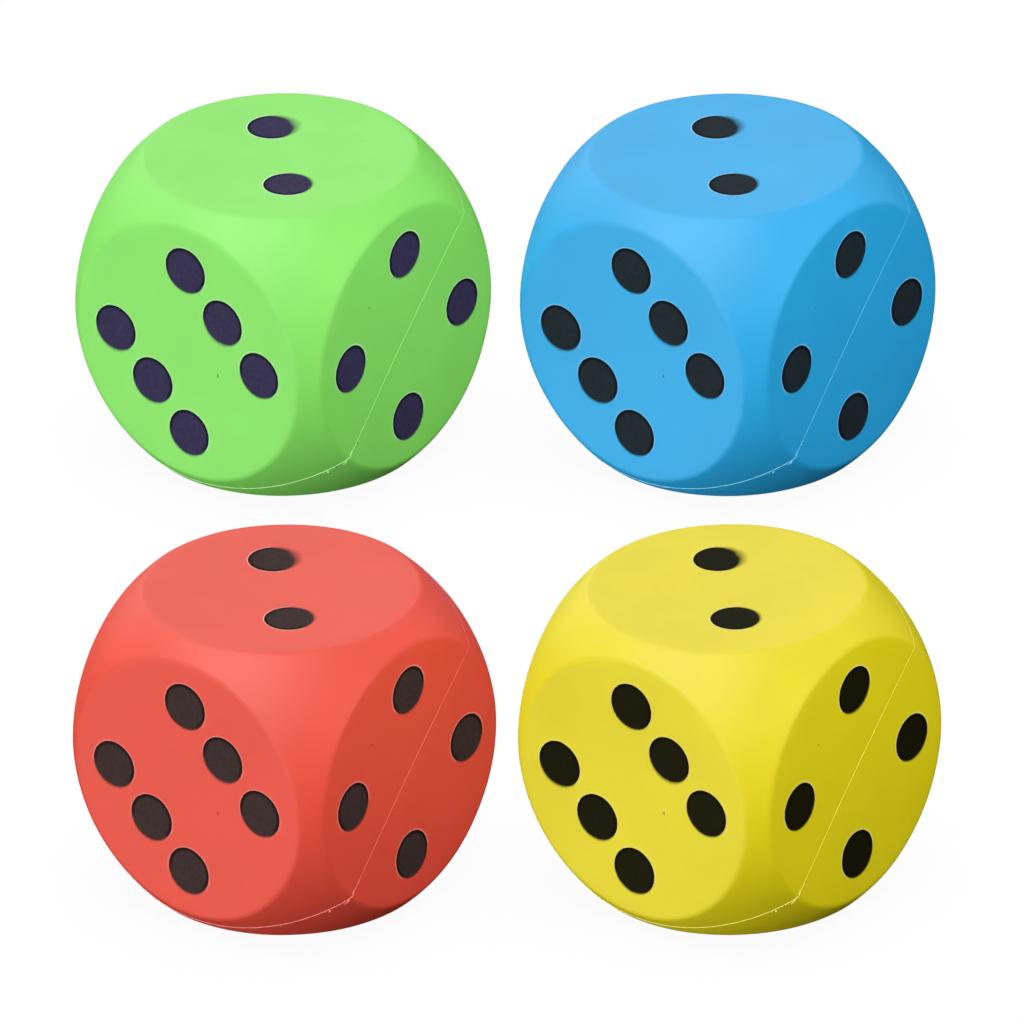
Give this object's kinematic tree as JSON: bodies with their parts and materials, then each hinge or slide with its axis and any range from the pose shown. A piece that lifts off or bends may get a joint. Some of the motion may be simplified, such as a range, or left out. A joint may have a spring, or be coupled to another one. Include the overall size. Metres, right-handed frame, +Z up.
{
  "type": "giant yard dice",
  "caption": "Set of large soft foam dice with rounded corners and printed pips, for throwing on a lawn or a floor.",
  "frame": {"origin": "on the ground, in the middle of the set of dice", "axes": "+Z up, +Y from the front pair of dice to the back pair, +X from the left pair to the right pair"},
  "size_m": [0.4423, 0.7057, 0.16],
  "materials": {
    "green_skin": "matte",
    "blue_skin": "matte",
    "red_skin": "matte",
    "yellow_skin": "matte",
    "foam_core": "matte",
    "pip_print": "matte"
  },
  "bodies": {
    "green_die": {"green_core": "foam_core", "green_skin_upper": "green_skin", "green_skin_lower": "green_skin", "green_two_pip_1": "pip_print", "green_two_pip_2": "pip_print", "green_four_pip_1": "pip_print", "green_four_pip_2": "pip_print", "green_four_pip_3": "pip_print", "green_four_pip_4": "pip_print", "green_six_pip_1": "pip_print", "green_six_pip_2": "pip_print", "green_six_pip_3": "pip_print", "green_six_pip_4": "pip_print", "green_six_pip_5": "pip_print", "green_six_pip_6": "pip_print"},
    "blue_die": {"blue_core": "foam_core", "blue_skin_upper": "blue_skin", "blue_skin_lower": "blue_skin", "blue_two_pip_1": "pip_print", "blue_two_pip_2": "pip_print", "blue_four_pip_1": "pip_print", "blue_four_pip_2": "pip_print", "blue_four_pip_3": "pip_print", "blue_four_pip_4": "pip_print", "blue_six_pip_1": "pip_print", "blue_six_pip_2": "pip_print", "blue_six_pip_3": "pip_print", "blue_six_pip_4": "pip_print", "blue_six_pip_5": "pip_print", "blue_six_pip_6": "pip_print"},
    "red_die": {"red_core": "foam_core", "red_skin_upper": "red_skin", "red_skin_lower": "red_skin", "red_two_pip_1": "pip_print", "red_two_pip_2": "pip_print", "red_four_pip_1": "pip_print", "red_four_pip_2": "pip_print", "red_four_pip_3": "pip_print", "red_four_pip_4": "pip_print", "red_six_pip_1": "pip_print", "red_six_pip_2": "pip_print", "red_six_pip_3": "pip_print", "red_six_pip_4": "pip_print", "red_six_pip_5": "pip_print", "red_six_pip_6": "pip_print"},
    "yellow_die": {"yellow_core": "foam_core", "yellow_skin_upper": "yellow_skin", "yellow_skin_lower": "yellow_skin", "yellow_two_pip_1": "pip_print", "yellow_two_pip_2": "pip_print", "yellow_four_pip_1": "pip_print", "yellow_four_pip_2": "pip_print", "yellow_four_pip_3": "pip_print", "yellow_four_pip_4": "pip_print", "yellow_six_pip_1": "pip_print", "yellow_six_pip_2": "pip_print", "yellow_six_pip_3": "pip_print", "yellow_six_pip_4": "pip_print", "yellow_six_pip_5": "pip_print", "yellow_six_pip_6": "pip_print"}
  },
  "joints": [
    {"name": "blue_roll", "type": "hinge", "parent": "green_die", "child": "blue_die", "pos_m": [0.07084, 0.1802, 0.00925], "axis": [0.7859, -0.6184, 0], "range_deg": [0, 90]},
    {"name": "red_roll", "type": "hinge", "parent": "green_die", "child": "red_die", "pos_m": [-0.15846, -0.2923, 0.00925], "axis": [0.7859, -0.6184, 0], "range_deg": [0, 90]},
    {"name": "yellow_roll", "type": "hinge", "parent": "green_die", "child": "yellow_die", "pos_m": [0.06524, -0.302, 0.00925], "axis": [0.7859, -0.6184, 0], "range_deg": [0, 90]}
  ]
}
